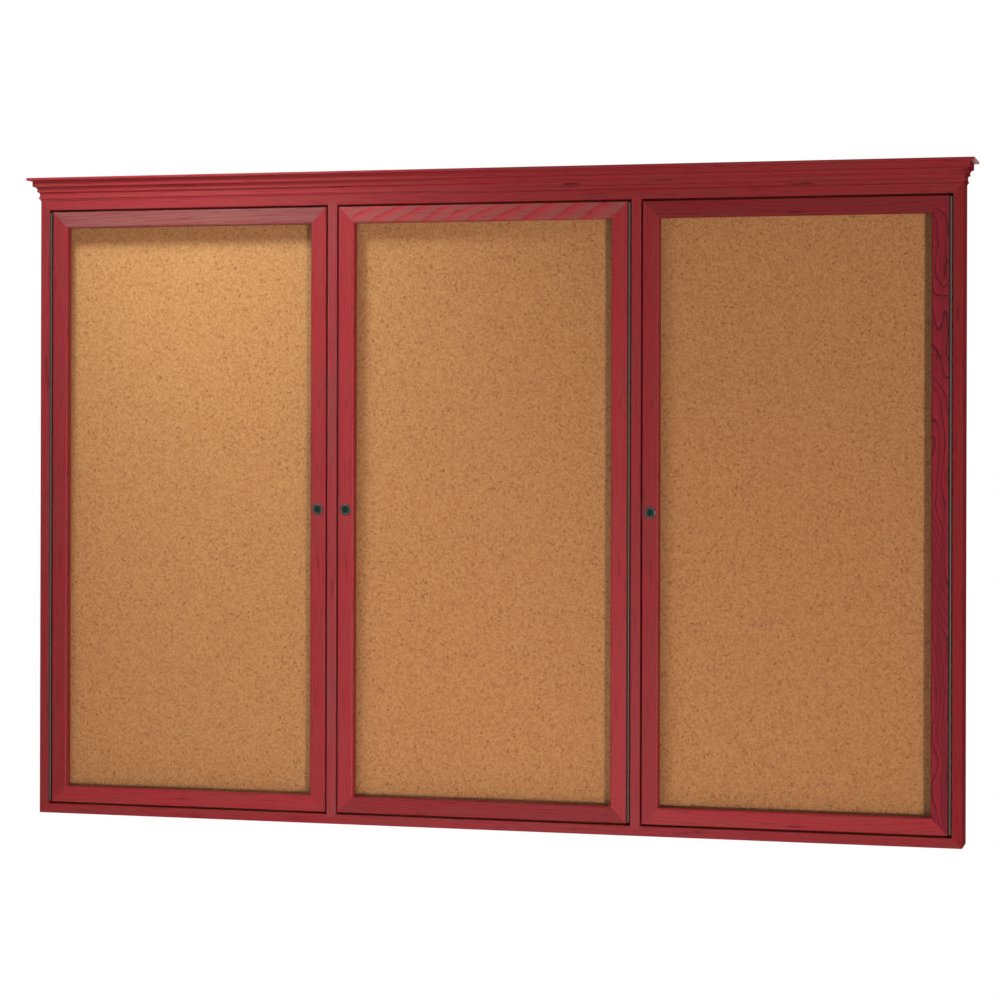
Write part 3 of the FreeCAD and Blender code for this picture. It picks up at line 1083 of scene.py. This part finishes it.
@dataclass
class Case:
    """The open case: its oak boards, cork, back and the rails it hangs by.

    The oak's pith is placed in millimetres and a step further aside for each board, so that
    no two have the same figure.
    """

    pith_behind: float = 90.0
    pith_aside: float = 30.0
    pith_step: float = 47.0

    def build(self) -> None:
        """Dress the case's nodes."""
        for count, (node, grain, tone, depth, gloss) in enumerate(
            (
                ("side_board_left", Grain.UPRIGHT, Tone.CRIMSON, 0.74, SATIN),
                # The right side board is left without sheen so that it stays dark: painted shade.
                ("side_board_right", Grain.UPRIGHT, Tone.CRIMSON, 0.8, MATT_FOR_SHADE),
                ("divider_left", Grain.UPRIGHT, Tone.FLAMED, 0.8, SATIN),
                ("divider_right", Grain.UPRIGHT, Tone.CRIMSON, 0.9, SATIN),
                ("top_board", Grain.LEVEL, Tone.CRIMSON, 0.82, SATIN),
                ("bottom_board", Grain.LEVEL, Tone.CRIMSON, 0.8, SATIN),
            )
        ):
            pith = (self.pith_behind, self.pith_aside + self.pith_step * count)
            oak = StainedOak(node, grain, pith, tone, depth, gloss)
            dress(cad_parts[node], oak.material())
        cork = BoardCork().material()
        for bay in Bay:
            dress(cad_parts[f"cork_{bay.value}"], cork)
        bare = PlainWood("bare_poplar", Grain.LEVEL).material()
        for node in ("hanging_rail", "wall_rail", "bottom_batten", "crown_glue_blocks"):
            dress(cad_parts[node], bare)
        ply = PlainWood("birch_plywood", Grain.UPRIGHT, "#c8a883", "#b08c62").material()
        dress(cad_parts["back_panel"], ply)
        zinc = PlatedMetal("zinc_plated_steel", "#b9bcc0", "#a3a6ab").material()
        dress(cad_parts["strike_plates"], zinc)
        bronzed = PlatedMetal("bronzed_pin_steel", "#4d3f38", "#3a2f2a", 0.45).material()
        dress(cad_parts["hinge_pins"], bronzed)


@dataclass
class Crown:
    """The moulded crown and its cap, their oak's pith placed in millimetres."""

    pith_behind: float = 70.0
    pith_aside: float = -110.0
    pith_step: float = -30.0

    def build(self) -> None:
        """Dress the crown's nodes."""
        for count, (node, grain, depth, gloss) in enumerate(
            (
                ("crown_front", Grain.LEVEL, 0.86, SATIN),
                ("crown_cap", Grain.LEVEL, 0.9, SATIN),
                ("crown_return_left", Grain.DEEP, 0.86, SATIN),
                # The right return is stained darker than the left one and left without sheen:
                # painted shade.
                ("crown_return_right", Grain.DEEP, 0.72, MATT_FOR_SHADE),
            )
        ):
            pith = (self.pith_behind, self.pith_aside + self.pith_step * count)
            oak = StainedOak(node, grain, pith, depth=depth, gloss=gloss)
            dress(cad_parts[node], oak.material())


@dataclass
class Door:
    """One glazed door with its hinge and lock, its measures in millimetres.

    The stains are the tone, depth and cut of the hinge stile, lock stile, top and bottom rail.
    """

    bay: Bay
    lock_x: float
    bead_pith: float
    stains: tuple[tuple[Tone, float, Cut], ...]
    lock_level: float = -508.0
    bead_pith_behind: float = 75.0

    def build(self) -> None:
        """Dress the door's nodes."""
        name = self.bay.value
        members = (
            ("hinge_stile", Grain.UPRIGHT),
            ("lock_stile", Grain.UPRIGHT),
            ("top_rail", Grain.LEVEL),
            ("bottom_rail", Grain.LEVEL),
        )
        for (member, grain), (tone, depth, cut) in zip(members, self.stains):
            low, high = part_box(f"{name}_{member}")
            middle = (low[0] + high[0]) / 2 if grain is Grain.UPRIGHT else -(low[2] + high[2]) / 2
            sawing = cut.value
            pith = (sawing.behind, middle / MM + sawing.aside)
            oak = StainedOak(f"{name}_{member}", grain, pith, tone, depth, sawing=sawing)
            dress(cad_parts[f"{name}_{member}"], oak.material())
        pith = (self.bead_pith_behind, self.bead_pith)
        bead = StainedOak(f"{name}_beads", Grain.UPRIGHT, pith)
        dress(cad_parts[f"{name}_glazing_beads"], bead.material())
        dress(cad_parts[f"{name}_glass"], FloatGlass().material())
        steel = PlatedMetal("bronzed_hinge_steel", "#4d3f38", "#3a2f2a", 0.45).material()
        for node in ("hinge_case_leaf", "hinge_door_leaf"):
            dress(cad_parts[f"{name}_{node}"], steel)
        CamLock(name, (self.lock_x, self.lock_level)).build()


@dataclass
class Screws:
    """The hinge screws and the strike plates' screws, placed in millimetres."""

    per_leaf: int = 12
    pitch: float = 101.6
    middle: float = -508.0
    hinge_row: float = -58.85
    hinge_head: float = 2.4
    strike_row: float = -40.5
    strike_head: float = 1.6
    strike_spacing: float = 32.0

    def build(self) -> None:
        """Model the screws, set them in their leaves and plates, and dress them."""
        screw = FlatScrew()
        pattern = screw.pattern()
        bronzed = PlatedMetal("bronzed_screw_steel", "#7a6054", "#5f493f", 0.38).material()
        zinc = PlatedMetal("zinc_plated_screw_steel", "#a9acb0", "#8f9297", 0.32).material()
        half = (self.per_leaf - 1) / 2
        levels = [self.middle + self.pitch * (place - half) for place in range(self.per_leaf)]
        strike_levels = [self.middle + side * self.strike_spacing / 2 for side in (-1, 1)]
        case_heads = []
        strike_heads = []
        # The sense is 1 where the hinge is on the bay's right and -1 where it's on its left.
        for bay, sense, pin_x, lock_face in (
            (Bay.LEFT, -1, -891.75, -311.15),
            (Bay.MIDDLE, 1, 288.5, -292.1),
            (Bay.RIGHT, 1, 891.75, 311.15),
        ):
            door_x = pin_x - sense * self.hinge_head
            case_x = pin_x + sense * self.hinge_head
            strike_x = lock_face + sense * self.strike_head
            case_heads += [(case_x, self.hinge_row, level, sense) for level in levels]
            strike_heads += [(strike_x, self.strike_row, level, -sense) for level in strike_levels]
            door_heads = [(door_x, self.hinge_row, level, -sense) for level in levels]
            name = bay.value
            piece = screw.row(f"{name}_door_leaf_screws", pattern, door_heads)
            set_down(piece, f"{name}_door", bronzed, (f"{name}_hinge_screws",))
        piece = screw.row("case_leaf_screws", pattern, case_heads)
        set_down(piece, "case", bronzed, ("case_screws",))
        piece = screw.row("strike_plate_screws", pattern, strike_heads)
        set_down(piece, "case", zinc, ("case_screws",))
        bpy.data.objects.remove(pattern)


@dataclass(frozen=True)
class Lamp:
    """A soft square lamp, placed in metres, its power in watts and its beam in degrees.

    One that isn't mirrored lights the board, but leaves no shine on glass and varnish.
    """

    name: str
    place: tuple[float, float, float]
    target: tuple[float, float, float]
    width: float
    power: float
    colour: tuple[float, float, float] = (1.0, 1.0, 1.0)
    spread: float = 180.0
    mirrored: bool = True

    def hang(self) -> None:
        """Put the lamp in its place, turned to its target."""
        data = bpy.data.lights.new(self.name, "AREA")
        data.shape = "SQUARE"
        data.size = self.width
        data.energy = self.power
        data.color = self.colour
        data.spread = math.radians(self.spread)
        lamp = bpy.data.objects.new(self.name, data)
        lamp.location = self.place
        lamp.visible_glossy = self.mirrored
        beam = Vector(self.target) - Vector(self.place)
        lamp.rotation_euler = beam.to_track_quat("-Z", "Y").to_euler()
        bpy.context.scene.collection.objects.link(lamp)


@dataclass
class Studio:
    """Camera, lamps, backdrop and floor, in metres, the lens and sensor in millimetres."""

    eye: tuple[float, float, float] = (1.400, -4.9996, -0.3601)
    swing: float = math.radians(14.177)
    roll: float = 0.0025
    lens: float = 96.48
    sensor: float = 36.0
    shift: tuple[float, float] = (-0.060, -0.0662)
    far_end: float = 100.0
    floor_level: float = -2.2
    floor_width: float = 5.0
    ambient: float = 0.12
    middle: tuple[float, float, float] = (0.0, 0.0, -0.5)
    cool: tuple[float, float, float] = (1.0, 1.4, 1.45)
    fresh: tuple[float, float, float] = (1.0, 1.15, 1.25)

    def build(self) -> None:
        """Set up everything that isn't the board."""
        self.add_camera()
        self.add_world()
        self.add_floor()
        for lamp in self.lamps():
            lamp.hang()
        bpy.context.scene.view_settings.view_transform = "Standard"

    def lamps(self) -> tuple[Lamp, ...]:
        """Choose the lamps.

        Returns:
            The main lamp at the right, two near ones over and under the left and middle bays,
            one behind, and one at each side.
        """
        return (
            Lamp("key", (4.3, -8.0, -1.1), (0.6, 0.0, -0.6), 0.7, 413.0),
            Lamp("glow", (-0.7, -1.2, 1.0), (-0.6, 0.0, -0.03), 0.5, 2.7, self.cool, 54.0),
            Lamp(
                "low", (-0.1, -1.5, -1.2), (0.1, 0.0, -0.9), 0.9, 9.2, self.fresh, mirrored=False
            ),
            Lamp("back", (-2.2, 3.6, 1.4), self.middle, 1.5, 190.0, mirrored=False),
            Lamp("left_fill", (-4.5, 0.5, 0.3), self.middle, 1.5, 32.0, mirrored=False),
            Lamp("right_fill", (4.5, 0.5, 0.3), self.middle, 1.5, 32.0, mirrored=False),
        )

    def add_camera(self) -> None:
        """Place the camera square to the uprights, to the right of the middle."""
        data = bpy.data.cameras.new("camera")
        data.sensor_width = self.sensor
        data.lens = self.lens
        data.shift_x, data.shift_y = self.shift
        data.clip_end = self.far_end
        camera = bpy.data.objects.new("camera", data)
        camera.location = self.eye
        camera.rotation_euler = (math.pi / 2, -self.roll, self.swing)
        bpy.context.scene.collection.objects.link(camera)
        bpy.context.scene.camera = camera

    def add_world(self) -> None:
        """Light the board evenly from all round, and show white behind it."""
        world = bpy.data.worlds.new("studio")
        world.use_nodes = True
        tree = world.node_tree
        tree.nodes.clear()
        shown = shown_rays(tree)
        soft = add_node(tree, "ShaderNodeBackground", {"Color": WHITE, "Strength": self.ambient})
        white = add_node(tree, "ShaderNodeBackground", {"Color": WHITE, "Strength": 1.0})
        both = add_node(
            tree, "ShaderNodeMixShader", {0: shown, 1: soft.outputs[0], 2: white.outputs[0]}
        )
        add_node(tree, "ShaderNodeOutputWorld", {"Surface": both.outputs[0]})
        bpy.context.scene.world = world

    def add_floor(self) -> None:
        """Lay the floor that the board's wall stands on."""
        bpy.ops.object.select_all(action="DESELECT")
        bpy.ops.mesh.primitive_plane_add(
            size=self.floor_width, location=(0.0, 0.0, self.floor_level)
        )
        floor = bpy.context.object
        floor.name = "studio_floor"
        bpy.ops.object.transform_apply(location=True, rotation=True, scale=True)
        dress(floor, PaleFloor().material())


def main() -> None:
    """Build and dress the board, then set up the studio."""
    logging.basicConfig(level=logging.INFO, format="%(message)s")
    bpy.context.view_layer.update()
    Case().build()
    Crown().build()
    red, rift = Tone.CRIMSON, Cut.RIFT
    dusky = (Tone.DUSKY, 0.77, rift)
    flamed = (Tone.FLAMED, 1.06, Cut.BROAD)
    wild = (Tone.WILD, 0.68, Cut.WILD)
    left = ((red, 0.72, rift), (red, 0.88, rift), dusky, (red, 0.95, rift))
    middle = ((red, 1.03, rift), (red, 0.95, rift), flamed, (red, 0.72, rift))
    right = (wild, (red, 0.83, rift), (red, 0.62, rift), (red, 1.0, rift))
    for bay, lock_x, bead_pith, stains in (
        (Bay.LEFT, -330.225, 12.0, left),
        (Bay.MIDDLE, -273.025, 20.0, middle),
        (Bay.RIGHT, 330.225, 16.0, right),
    ):
        Door(bay, lock_x, bead_pith, stains).build()
    Screws().build()
    Studio().build()


if __name__ == "__main__":
    main()
